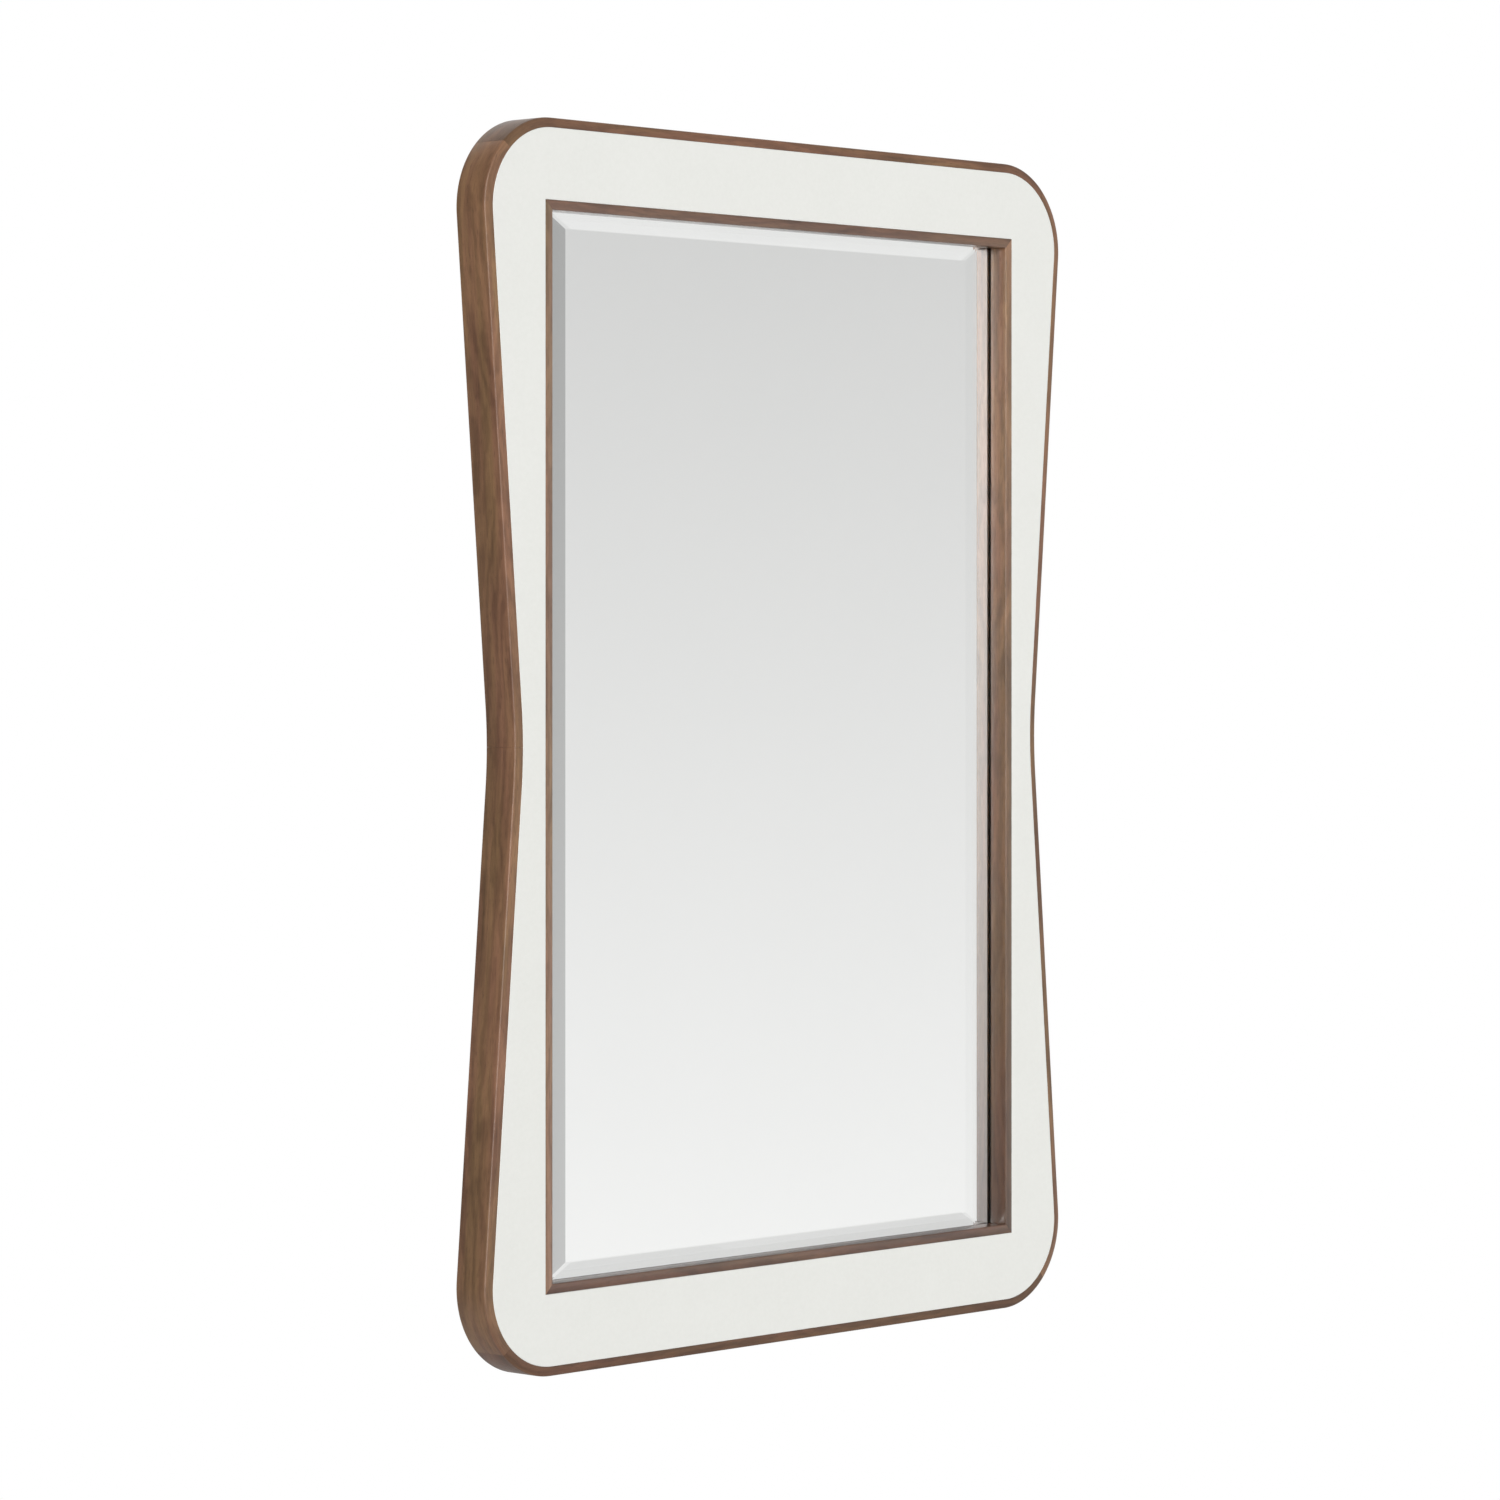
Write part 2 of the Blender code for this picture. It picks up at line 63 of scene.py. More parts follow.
# Sizes read from the frame, in metres
FACE_LOW, FACE_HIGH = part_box("face_panel")
PLATE_LOW, PLATE_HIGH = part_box("mirror_plate")
FRONT = cad_bounds[0][1]
BACK = cad_bounds[1][1]
HALF_WIDTH = cad_bounds[1][0]
HALF_HEIGHT = cad_bounds[1][2]

# Shape of the edge band, as the frame has it
GAP = 0.0003
CORNER_RADIUS = 0.090
WAIST_RADIUS = 0.480
BAND_THICKNESS = HALF_HEIGHT - FACE_HIGH.z - GAP
BAND_FALL = 0.0018
BAND_FRONT_EASE = 0.0016
BAND_BACK_EASE = 0.0008
SMALL_EASE = 0.0003
WAIST_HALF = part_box("band_right_upper")[0].x + BAND_THICKNESS
BAND_JOINT = 0.00012
CORNER_JOINT = math.radians(45)

# Sight moulding
SIGHT_HALF_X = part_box("sight_moulding_right")[1].x
SIGHT_HALF_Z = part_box("sight_moulding_top")[1].z
SIGHT_LIP = SIGHT_HALF_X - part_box("sight_moulding_right")[0].x
SIGHT_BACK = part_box("sight_moulding_top")[1].y
SIGHT_EASE = 0.0011

# Mirror plate: near-black painted shade just inside its ground edge below the bevel, and the silver coat just
# inside its back face
SHADE_WALL_DEPTH = 0.0030
SHADE_WALL_THICKNESS = 0.00012
SHADE_WALL_MARGIN = 0.0003
SHADE_WALL_OFF_BACK = 0.0002
SILVER_THICKNESS = 0.00006
SILVER_INSET = 0.00008
SILVER_MARGIN = 0.0006
SILVER_CORNER = 0.0010

# Face rim and metal fittings
FACE_EASE = 0.0006
STRAP_THICKNESS = 0.0015
STRAP_FOOT_RADIUS = 0.0055
STRAP_ROLL = math.radians(300)
STRAP_HOLE_RADIUS = 0.00205
STRAP_EASE = 0.00018
RING_CORNER = 0.003
HEAD_HEIGHT = 0.0020
SHANK_RADIUS = 0.00172
SCREW_POINT = 0.0035
RECESS_DEPTH = 0.0014

# Tones of the walnut lengths, at the top and at the bottom of the mirror; the right sight bar's also carry
# painted sheen at its top and painted shade at its bottom
SIDE_TONES = ((1.05, 1.05, 1.05), (0.96, 0.98, 1.0))
TOP_TONES = ((0.78, 0.74, 0.72),) * 2
BOTTOM_TONES = ((0.60, 0.54, 0.54),) * 2
SIGHT_TOP_TONES = ((0.62, 0.60, 0.62),) * 2
SIGHT_BOTTOM_TONES = ((0.56, 0.50, 0.52),) * 2
SIGHT_LEFT_TONES = ((0.90, 1.02, 1.12), (1.14, 1.28, 1.40))
# Right sight bar: the wood's tone with painted sheen, lighter at the top, and painted shade, darker at the
# bottom
SIGHT_RIGHT_TONES_WITH_PAINTED_LIGHT = ((1.55, 1.55, 1.50), (0.30, 0.24, 0.20))

# Camera, from the middle of the front face
CAMERA_OFFSET = Vector((-3.864, -3.5385, 0.1145))
CAMERA_YAW = math.radians(47.07)
CAMERA_LENS = 123.59
CAMERA_SHIFT = -0.0809
FLOOR_DROP = 0.84
FLOOR_SIZE = 5.0

CORNER_CENTRE = Vector((HALF_WIDTH - CORNER_RADIUS, 0.0, HALF_HEIGHT - CORNER_RADIUS))
WAIST_CENTRE = Vector((WAIST_HALF + WAIST_RADIUS, 0.0, 0.0))
CENTRE_STEP = WAIST_CENTRE - CORNER_CENTRE
TAPER = (
    math.atan2(-CENTRE_STEP.z, CENTRE_STEP.x)
    - math.acos((CORNER_RADIUS + WAIST_RADIUS) / CENTRE_STEP.length)
)
STRAIGHT = math.sqrt(CENTRE_STEP.length ** 2 - (CORNER_RADIUS + WAIST_RADIUS) ** 2)
SIDE_OUT = Vector((math.cos(TAPER), 0.0, -math.sin(TAPER)))
SIDE_DOWN = Vector((-math.sin(TAPER), 0.0, -math.cos(TAPER)))
CORNER_FOOT = CORNER_CENTRE + SIDE_OUT * CORNER_RADIUS
TOP_MIDDLE = TAPER * WAIST_RADIUS + STRAIGHT + (math.pi / 2 + TAPER) * CORNER_RADIUS + CORNER_CENTRE.x


# --- small helpers ---------------------------------------------------------------------------------

def deselect():
    if bpy.context.object and bpy.context.object.mode != "OBJECT":
        bpy.ops.object.mode_set(mode="OBJECT")
    bpy.ops.object.select_all(action="DESELECT")


def activate(piece):
    deselect()
    bpy.context.view_layer.objects.active = piece
    piece.select_set(True)


def edit(piece, mode="FACE"):
    activate(piece)
    bpy.ops.object.mode_set(mode="EDIT")
    bpy.ops.mesh.select_mode(type=mode)


def pick(piece, kind, test):
    """Select the faces, edges or verts of a piece in edit mode that pass a test."""
    bpy.ops.mesh.select_all(action="DESELECT")
    mesh = bmesh.from_edit_mesh(piece.data)
    for part in getattr(mesh, kind):
        if test(part):
            part.select_set(True)
    bmesh.update_edit_mesh(piece.data)


def pick_edges(piece, holds):
    """Select the edges that have both ends where holds says."""
    pick(piece, "edges", lambda edge: all(holds(vert.co) for vert in edge.verts))


def apply_place(piece):
    activate(piece)
    bpy.ops.object.transform_apply(location=True, rotation=True, scale=True)


def clean(piece, angle=35):
    """Join doubles, point the faces of a closed piece out and smooth all but its sharp edges."""
    edit(piece)
    bpy.ops.mesh.select_all(action="SELECT")
    bpy.ops.mesh.remove_doubles(threshold=1e-6)
    bpy.ops.mesh.normals_make_consistent(inside=False)
    if bmesh.from_edit_mesh(piece.data).calc_volume(signed=True) < 0:
        bpy.ops.mesh.flip_normals()
    bpy.ops.object.mode_set(mode="OBJECT")
    bpy.ops.object.shade_smooth_by_angle(angle=math.radians(angle))


def named(piece, name):
    piece.name = name
    piece.data.name = name
    return piece


def copy_of(piece, name, matrix):
    """A copy with its own mesh, moved or mirrored by a matrix."""
    made = piece.copy()
    made.data = piece.data.copy()
    bpy.context.scene.collection.objects.link(made)
    made.data.transform(matrix)
    if matrix.determinant() < 0:
        made.data.flip_normals()
    return named(made, name)


def apply_modifier(piece, modifier):
    activate(piece)
    bpy.ops.object.modifier_apply(modifier=modifier.name)


def cut_away(piece, cutter):
    cut = piece.modifiers.new("cut", "BOOLEAN")
    cut.operation = "DIFFERENCE"
    cut.solver = "EXACT"
    cut.object = cutter
    apply_modifier(piece, cut)
    bpy.data.objects.remove(cutter, do_unlink=True)


def paint(piece, finish):
    piece.data.materials.clear()
    piece.data.materials.append(finish)


def dress(piece, finish, nodes=(), body="frame"):
    """Give a finished piece its finish, the nodes it stands for and the body it rides on."""
    paint(piece, finish)
    if nodes:
        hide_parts(*nodes)
    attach(piece, body)


# --- material helpers ------------------------------------------------------------------------------

def put(tree, socket, value):
    if isinstance(value, bpy.types.NodeSocket):
        tree.links.new(value, socket)
    else:
        socket.default_value = value


def calc(tree, operation, *values, clamp=False):
    node = tree.nodes.new("ShaderNodeMath")
    node.operation = operation
    node.use_clamp = clamp
    for socket, value in zip(node.inputs, values):
        put(tree, socket, value)
    return node.outputs[0]


def remap(tree, value, low, high, to_low=0.0, to_high=1.0, smooth=False):
    node = tree.nodes.new("ShaderNodeMapRange")
    node.interpolation_type = "SMOOTHSTEP" if smooth else "LINEAR"
    for name, given in (("Value", value), ("From Min", low), ("From Max", high),
                        ("To Min", to_low), ("To Max", to_high)):
        put(tree, node.inputs[name], given)
    return node.outputs["Result"]


def stretch(tree, vector, scale, shift=(0.0, 0.0, 0.0)):
    node = tree.nodes.new("ShaderNodeMapping")
    tree.links.new(vector, node.inputs["Vector"])
    node.inputs["Scale"].default_value = scale
    node.inputs["Location"].default_value = shift
    return node.outputs["Vector"]


def noise(tree, vector, scale=1.0, detail=3.0, rough=0.5, warp=0.0):
    node = tree.nodes.new("ShaderNodeTexNoise")
    tree.links.new(vector, node.inputs["Vector"])
    node.inputs["Scale"].default_value = scale
    node.inputs["Detail"].default_value = detail
    node.inputs["Roughness"].default_value = rough
    node.inputs["Distortion"].default_value = warp
    return node.outputs["Fac"]


def cells(tree, vector, scale, feature="F1"):
    node = tree.nodes.new("ShaderNodeTexVoronoi")
    node.feature = feature
    tree.links.new(vector, node.inputs["Vector"])
    node.inputs["Scale"].default_value = scale
    return node.outputs["Distance"]


def blend_color(tree, factor, one, two, mode="MIX"):
    node = tree.nodes.new("ShaderNodeMix")
    node.data_type = "RGBA"
    node.blend_type = mode
    put(tree, node.inputs[0], factor)
    put(tree, node.inputs[6], one)
    put(tree, node.inputs[7], two)
    return node.outputs[2]


def bump(tree, shader, height, strength, distance):
    node = tree.nodes.new("ShaderNodeBump")
    node.inputs["Strength"].default_value = strength
    node.inputs["Distance"].default_value = distance
    tree.links.new(height, node.inputs["Height"])
    tree.links.new(node.outputs["Normal"], shader.inputs["Normal"])


def rgb(red, green, blue):
    return (red, green, blue, 1.0)


def new_material(name):
    made = bpy.data.materials.new(name)
    made.use_nodes = True
    tree = made.node_tree
    return made, tree, tree.nodes["Principled BSDF"]


def object_place(tree):
    return tree.nodes.new("ShaderNodeTexCoord").outputs["Object"]


def wood_place(tree):
    """The wood's own coordinates: along the grain, in from the outside, and front to back."""
    node = tree.nodes.new("ShaderNodeAttribute")
    node.attribute_name = "grain"
    return node.outputs["Vector"]


# --- finishes --------------------------------------------------------------------------------------

def walnut(name, gloss, lacquer):
    """Lacquered walnut: rings round a wandering heart, long fibres, pores, dark clouds and golden streaks."""
    light, dark = rgb(0.345, 0.170, 0.095), rgb(0.112, 0.051, 0.028)
    made, tree, shader = new_material(name)
    place = wood_place(tree)
    split = tree.nodes.new("ShaderNodeSeparateXYZ")
    tree.links.new(place, split.inputs[0])
    inward, depth = split.outputs[1], split.outputs[2]

    heart_depth = noise(tree, stretch(tree, place, (2.1, 0.0, 0.0)), 1.0, 1.0)
    heart_depth = remap(tree, heart_depth, 0.25, 0.75, -0.030, 0.030)
    heart_in = noise(tree, stretch(tree, place, (1.6, 0.0, 0.0), (7.3, 2.0, 0.0)), 1.0, 1.0)
    heart_in = remap(tree, heart_in, 0.3, 0.7, 0.002, 0.040)
    away_depth = calc(tree, "SUBTRACT", depth, heart_depth)
    away_in = calc(tree, "ADD", inward, heart_in)
    squares = calc(tree, "ADD", calc(tree, "POWER", away_depth, 2.0), calc(tree, "POWER", away_in, 2.0))
    reach = calc(tree, "SQRT", squares)
    wander = noise(tree, stretch(tree, place, (6.0, 24.0, 24.0)), 1.0, 4.0, 0.6)
    rings = calc(tree, "ADD", calc(tree, "MULTIPLY", reach, 85.0), calc(tree, "MULTIPLY", wander, 4.6))
    wave = calc(tree, "SINE", calc(tree, "MULTIPLY", rings, 2 * math.pi))
    late_wood = remap(tree, wave, -1.0, 0.8, smooth=True)

    fibres = noise(tree, stretch(tree, place, (7.0, 420.0, 420.0)), 1.0, 4.0, 0.65)
    fibres = remap(tree, fibres, 0.30, 0.70)
    slow = noise(tree, stretch(tree, place, (5.5, 26.0, 26.0)), 1.0, 3.0, 0.6, 0.9)
    slow = remap(tree, slow, 0.30, 0.70)
    share = calc(tree, "MULTIPLY", late_wood, 0.22)
    share = calc(tree, "MULTIPLY_ADD", fibres, 0.28, share)
    share = calc(tree, "MULTIPLY_ADD", slow, 0.50, share)
    color = blend_color(tree, share, dark, light)
    clouds = noise(tree, stretch(tree, place, (6.5, 13.0, 13.0), (3.1, 0.4, 0.0)), 1.0, 3.0, 0.6, 1.2)
    clouds = remap(tree, clouds, 0.55, 0.72, smooth=True)
    color = blend_color(tree, calc(tree, "MULTIPLY", clouds, 0.42), color, dark)
    golden = noise(tree, stretch(tree, place, (4.0, 50.0, 50.0), (0.0, 5.0, 2.0)), 1.0, 2.0)
    golden = remap(tree, golden, 0.40, 0.62)
    color = blend_color(tree, golden, color, rgb(0.94, 1.07, 0.90), "MULTIPLY")

    # Multiply by the piece's tone, which on the right sight bar holds painted sheen at the top and painted
    # shade at the bottom
    tone_and_painted_light = tree.nodes.new("ShaderNodeAttribute")
    tone_and_painted_light.attribute_name = "tone_and_painted_light"
    color = blend_color(tree, 1.0, color, tone_and_painted_light.outputs["Color"], "MULTIPLY")
    pores = noise(tree, stretch(tree, place, (90.0, 2600.0, 2600.0)), 1.0, 1.0)
    pores = remap(tree, pores, 0.60, 0.68)
    color = blend_color(tree, calc(tree, "MULTIPLY", pores, 0.45), color, rgb(0.030, 0.016, 0.010))
    tree.links.new(color, shader.inputs["Base Color"])

    rough = calc(tree, "MULTIPLY_ADD", fibres, 0.08, gloss)
    tree.links.new(calc(tree, "MULTIPLY_ADD", pores, 0.15, rough), shader.inputs["Roughness"])
    shader.inputs["Coat Weight"].default_value = lacquer
    shader.inputs["Coat Roughness"].default_value = 0.17
    height = calc(tree, "MULTIPLY_ADD", pores, -1.0, calc(tree, "MULTIPLY", fibres, 0.35))
    bump(tree, shader, height, 0.25, 0.00012)
    return made


def ivory():
    """Ivory covering with a fine soft pebble and a faint cloudiness."""
    made, tree, shader = new_material("ivory_covering")
    place = object_place(tree)
    cloud = noise(tree, stretch(tree, place, (9.0, 9.0, 9.0)), 1.0, 4.0, 0.6)
    fine = noise(tree, stretch(tree, place, (230.0, 230.0, 230.0)), 1.0, 3.0, 0.6)
    pebble = cells(tree, place, 520.0, "SMOOTH_F1")
    share = calc(tree, "MULTIPLY_ADD", fine, 0.55, calc(tree, "MULTIPLY", cloud, 0.45))
    share = remap(tree, share, 0.30, 0.70)
    color = blend_color(tree, share, rgb(0.798, 0.803, 0.770), rgb(0.834, 0.839, 0.808))
    tree.links.new(color, shader.inputs["Base Color"])
    tree.links.new(remap(tree, pebble, 0.0, 0.8, 0.52, 0.66), shader.inputs["Roughness"])
    height = calc(tree, "MULTIPLY_ADD", fine, 0.8, pebble)
    bump(tree, shader, height, 0.16, 0.00025)
    return made


def clear_glass():
    made, tree, shader = new_material("plate_glass")
    place = object_place(tree)
    shade = noise(tree, stretch(tree, place, (3.0, 3.0, 3.0)), 1.0, 2.0)
    color = blend_color(tree, shade, rgb(0.975, 0.982, 0.979), rgb(0.985, 0.990, 0.987))
    tree.links.new(color, shader.inputs["Base Color"])
    shader.inputs["Roughness"].default_value = 0.0
    shader.inputs["IOR"].default_value = 1.52
    shader.inputs["Transmission Weight"].default_value = 1.0
    return made


def silver():
    made, tree, shader = new_material("silver_coat")
    place = object_place(tree)
    shade = noise(tree, stretch(tree, place, (6.0, 6.0, 6.0)), 1.0, 3.0)
    color = blend_color(tree, shade, rgb(0.925, 0.928, 0.926), rgb(0.935, 0.937, 0.935))
    tree.links.new(color, shader.inputs["Base Color"])
    shader.inputs["Metallic"].default_value = 1.0
    shader.inputs["Roughness"].default_value = 0.0
    return made


def core_timber(name, scale):
    """Planed pale hardwood, its grain along the axis with the smallest scale."""
    made, tree, shader = new_material(name)
    place = object_place(tree)
    bands = noise(tree, stretch(tree, place, scale), 1.0, 4.0, 0.6, 0.6)
    fibres = noise(tree, stretch(tree, place, [part * 9.0 for part in scale]), 1.0, 3.0, 0.6)
    share = calc(tree, "MULTIPLY_ADD", fibres, 0.4, calc(tree, "MULTIPLY", bands, 0.6))
    color = blend_color(tree, remap(tree, share, 0.36, 0.64), rgb(0.36, 0.24, 0.13), rgb(0.58, 0.44, 0.28))
    tree.links.new(color, shader.inputs["Base Color"])
    shader.inputs["Roughness"].default_value = 0.72
    bump(tree, shader, fibres, 0.3, 0.0002)
    return made


def hardboard():
    made, tree, shader = new_material("hardboard")
    place = object_place(tree)
    flecks = noise(tree, stretch(tree, place, (700.0, 700.0, 700.0)), 1.0, 4.0, 0.7)
    cloud = noise(tree, stretch(tree, place, (14.0, 14.0, 14.0)), 1.0, 3.0)
    share = calc(tree, "MULTIPLY_ADD", flecks, 0.6, calc(tree, "MULTIPLY", cloud, 0.4))
    share = remap(tree, share, 0.36, 0.64)
    color = blend_color(tree, share, rgb(0.155, 0.088, 0.048), rgb(0.275, 0.170, 0.098))
    tree.links.new(color, shader.inputs["Base Color"])
    tree.links.new(remap(tree, flecks, 0.3, 0.7, 0.55, 0.75), shader.inputs["Roughness"])
    bump(tree, shader, flecks, 0.25, 0.0002)
    return made


def zinc(name, roughness):
    made, tree, shader = new_material(name)
    place = object_place(tree)
    spangle = noise(tree, stretch(tree, place, (260.0, 260.0, 260.0)), 1.0, 3.0)
    scratch = noise(tree, stretch(tree, place, (3000.0, 3000.0, 350.0)), 1.0, 2.0)
    color = blend_color(tree, remap(tree, spangle, 0.3, 0.7), rgb(0.56, 0.56, 0.54), rgb(0.70, 0.70, 0.67))
    tree.links.new(color, shader.inputs["Base Color"])
    shader.inputs["Metallic"].default_value = 1.0
    tree.links.new(remap(tree, scratch, 0.3, 0.7, roughness, roughness + 0.16), shader.inputs["Roughness"])
    bump(tree, shader, scratch, 0.08, 0.0001)
    return made


def matte(name, low, high, scale):
    """Dull rubber and foam, and the near-black painted shade at the plate's edge, with a fine grit."""
    made, tree, shader = new_material(name)
    place = object_place(tree)
    grit = noise(tree, stretch(tree, place, (scale, scale, scale)), 1.0, 3.0, 0.6)
    color = blend_color(tree, remap(tree, grit, 0.3, 0.7), low, high)
    tree.links.new(color, shader.inputs["Base Color"])
    shader.inputs["Roughness"].default_value = 0.9
    bump(tree, shader, grit, 0.4, 0.0004)
    return made


# --- wood coordinates ------------------------------------------------------------------------------

def along_band(x, z):
    """Distance along the band from the waist, and distance in, for a place in the upper right quarter."""
    waist_turn = math.atan2(z, WAIST_CENTRE.x - x)
    if waist_turn <= TAPER:
        return waist_turn * WAIST_RADIUS, math.hypot(WAIST_CENTRE.x - x, z) - WAIST_RADIUS
    place = Vector((x, 0.0, z))
    from_corner = (place - CORNER_FOOT).dot(SIDE_DOWN)
    straight_end = TAPER * WAIST_RADIUS + STRAIGHT
    if from_corner > 0:
        return straight_end - from_corner, (CORNER_FOOT - place).dot(SIDE_OUT)
    spoke = place - CORNER_CENTRE
    turn = TAPER + math.atan2(spoke.z, spoke.x)
    if x > CORNER_CENTRE.x:
        return straight_end + turn * CORNER_RADIUS, CORNER_RADIUS - spoke.length
    arc_end = straight_end + (math.pi / 2 + TAPER) * CORNER_RADIUS
    return arc_end + CORNER_CENTRE.x - x, HALF_HEIGHT - z


def lay_grain(piece, place_in_wood, shift, tones):
    """Store the wood's own coordinates and its tone, which runs from the first at the top to the last; on the
    right sight bar this tone also holds painted sheen at the top and painted shade at the bottom.
    """
    high_tone, low_tone = Vector(tones[0]), Vector(tones[1])
    mesh = piece.data
    for name in ("grain", "tone_and_painted_light"):
        if name in mesh.attributes:
            mesh.attributes.remove(mesh.attributes[name])
    grain = mesh.attributes.new("grain", "FLOAT_VECTOR", "POINT")
    for vert in mesh.vertices:
        grain.data[vert.index].vector = Vector(place_in_wood(vert.co)) + Vector(shift)
    tone_layer = mesh.attributes.new("tone_and_painted_light", "FLOAT_COLOR", "POINT")
    for vert in mesh.vertices:
        share = 0.5 - vert.co.z / (2 * HALF_HEIGHT)
        tone_layer.data[vert.index].color = (*high_tone.lerp(low_tone, share), 1.0)


def band_grain(co):
    along, inward = along_band(abs(co.x), abs(co.z))
    return math.copysign(along, co.z), inward, co.y


def top_grain(co):
    along, inward = along_band(abs(co.x), abs(co.z))
    return math.copysign(TOP_MIDDLE - along, co.x), inward, co.y


# --- edge band -------------------------------------------------------------------------------------

def band_section(place, turn):
    """A sheet the size of the band's section, standing where a length starts."""
    deselect()
    bpy.ops.mesh.primitive_plane_add(size=1.0, location=place, rotation=(0.0, turn, 0.0))
    piece = bpy.context.object
    piece.scale = (BAND_THICKNESS, BACK - FRONT, 1.0)
    apply_place(piece)
    return piece


def ease_band(piece):
    """Slope the front towards the outside and round the long edges."""
    def inset(co):
        return along_band(abs(co.x), abs(co.z))[1]

    edit(piece, "VERT")
    pick(piece, "verts", lambda vert: inset(vert.co) < 1e-4 and vert.co.y < FRONT + 1e-5)
    bpy.ops.transform.translate(value=(0.0, BAND_FALL, 0.0))
    bpy.ops.mesh.select_mode(type="EDGE")
    pick_edges(piece, lambda co: inset(co) < 1e-4 and co.y < 0)
    bpy.ops.mesh.bevel(offset=BAND_FRONT_EASE, segments=4, profile=0.5, affect="EDGES")
    pick_edges(piece, lambda co: inset(co) < 1e-4 and co.y > BACK - 1e-5)
    bpy.ops.mesh.bevel(offset=BAND_BACK_EASE, segments=3, profile=0.5, affect="EDGES")
    pick_edges(piece, lambda co: inset(co) > BAND_THICKNESS - 1e-4 and co.y < FRONT + 1e-5)
    bpy.ops.mesh.bevel(offset=SMALL_EASE, segments=2, profile=0.5, affect="EDGES")
    bpy.ops.object.mode_set(mode="OBJECT")
    clean(piece)


def spin(centre, angle, steps):
    bpy.ops.mesh.spin(steps=steps, angle=-angle, center=centre, axis=(0.0, 1.0, 0.0), use_auto_merge=False)


def is_flat_end(face, place, normal):
    """Whether a face lies in a plane through a place."""
    return all(abs((vert.co - place).dot(normal)) < 1e-6 for vert in face.verts)


def side_band():
    """The upper right length, from the middle of its corner down to the waist."""
    middle = (FRONT + BACK) / 2
    start = CORNER_FOOT - SIDE_OUT * (BAND_THICKNESS / 2) + Vector((0.0, middle, 0.0))
    piece = band_section(start, TAPER)
    corner_turn = CORNER_JOINT + TAPER - BAND_JOINT / (2 * CORNER_RADIUS)
    waist_turn = TAPER - BAND_JOINT / (2 * WAIST_RADIUS)
    edit(piece)
    bpy.ops.mesh.select_all(action="SELECT")
    spin(CORNER_CENTRE, -corner_turn, 40)
    pick(piece, "faces", lambda face: is_flat_end(face, CORNER_FOOT, SIDE_DOWN))
    bpy.ops.mesh.extrude_region_move(TRANSFORM_OT_translate={"value": SIDE_DOWN * STRAIGHT})
    spin(WAIST_CENTRE, -waist_turn, 14)
    bpy.ops.object.mode_set(mode="OBJECT")
    ease_band(piece)
    return piece


def top_band():
    """The top length, between the middles of both upper corners."""
    middle = (FRONT + BACK) / 2
    place = Vector((CORNER_CENTRE.x, middle, HALF_HEIGHT - BAND_THICKNESS / 2))
    piece = band_section(place, math.radians(90))
    turn = CORNER_JOINT - BAND_JOINT / (2 * CORNER_RADIUS)
    reach = Vector((-2 * CORNER_CENTRE.x, 0.0, 0.0))
    edit(piece)
    bpy.ops.mesh.select_all(action="SELECT")
    bpy.ops.mesh.extrude_region_move(TRANSFORM_OT_translate={"value": reach})
    left_centre = Vector((-CORNER_CENTRE.x, 0.0, CORNER_CENTRE.z))
    spin(left_centre, -turn, 36)
    pick(piece, "faces", lambda face: is_flat_end(face, CORNER_CENTRE, Vector((1.0, 0.0, 0.0))))
    spin(CORNER_CENTRE, turn, 36)
    bpy.ops.object.mode_set(mode="OBJECT")
    ease_band(piece)
    return piece


def edge_band(finish):
    flip_x = Matrix.Scale(-1.0, 4, (1.0, 0.0, 0.0))
    flip_z = Matrix.Scale(-1.0, 4, (0.0, 0.0, 1.0))
    top = named(top_band(), "walnut_band_top")
    side = named(side_band(), "walnut_band_right_upper")
    left, right = (21.9, 0.07, 0.12), (9.7, 0.05, 0.20)
    lengths = (
        (top, "band_top", (0.0, 0.0, 0.0), TOP_TONES),
        (copy_of(top, "walnut_band_bottom", flip_z), "band_bottom", (4.1, 0.11, 0.03), BOTTOM_TONES),
        (side, "band_right_upper", right, SIDE_TONES),
        (copy_of(side, "walnut_band_right_lower", flip_z), "band_right_lower", right, SIDE_TONES),
        (copy_of(side, "walnut_band_left_upper", flip_x), "band_left_upper", left, SIDE_TONES),
        (copy_of(side, "walnut_band_left_lower", flip_x @ flip_z), "band_left_lower", left, SIDE_TONES),
    )
    for piece, node, shift, tones in lengths:
        grain = top_grain if node in ("band_top", "band_bottom") else band_grain
        lay_grain(piece, grain, shift, tones)
        dress(piece, finish, [node])


# --- sight moulding --------------------------------------------------------------------------------

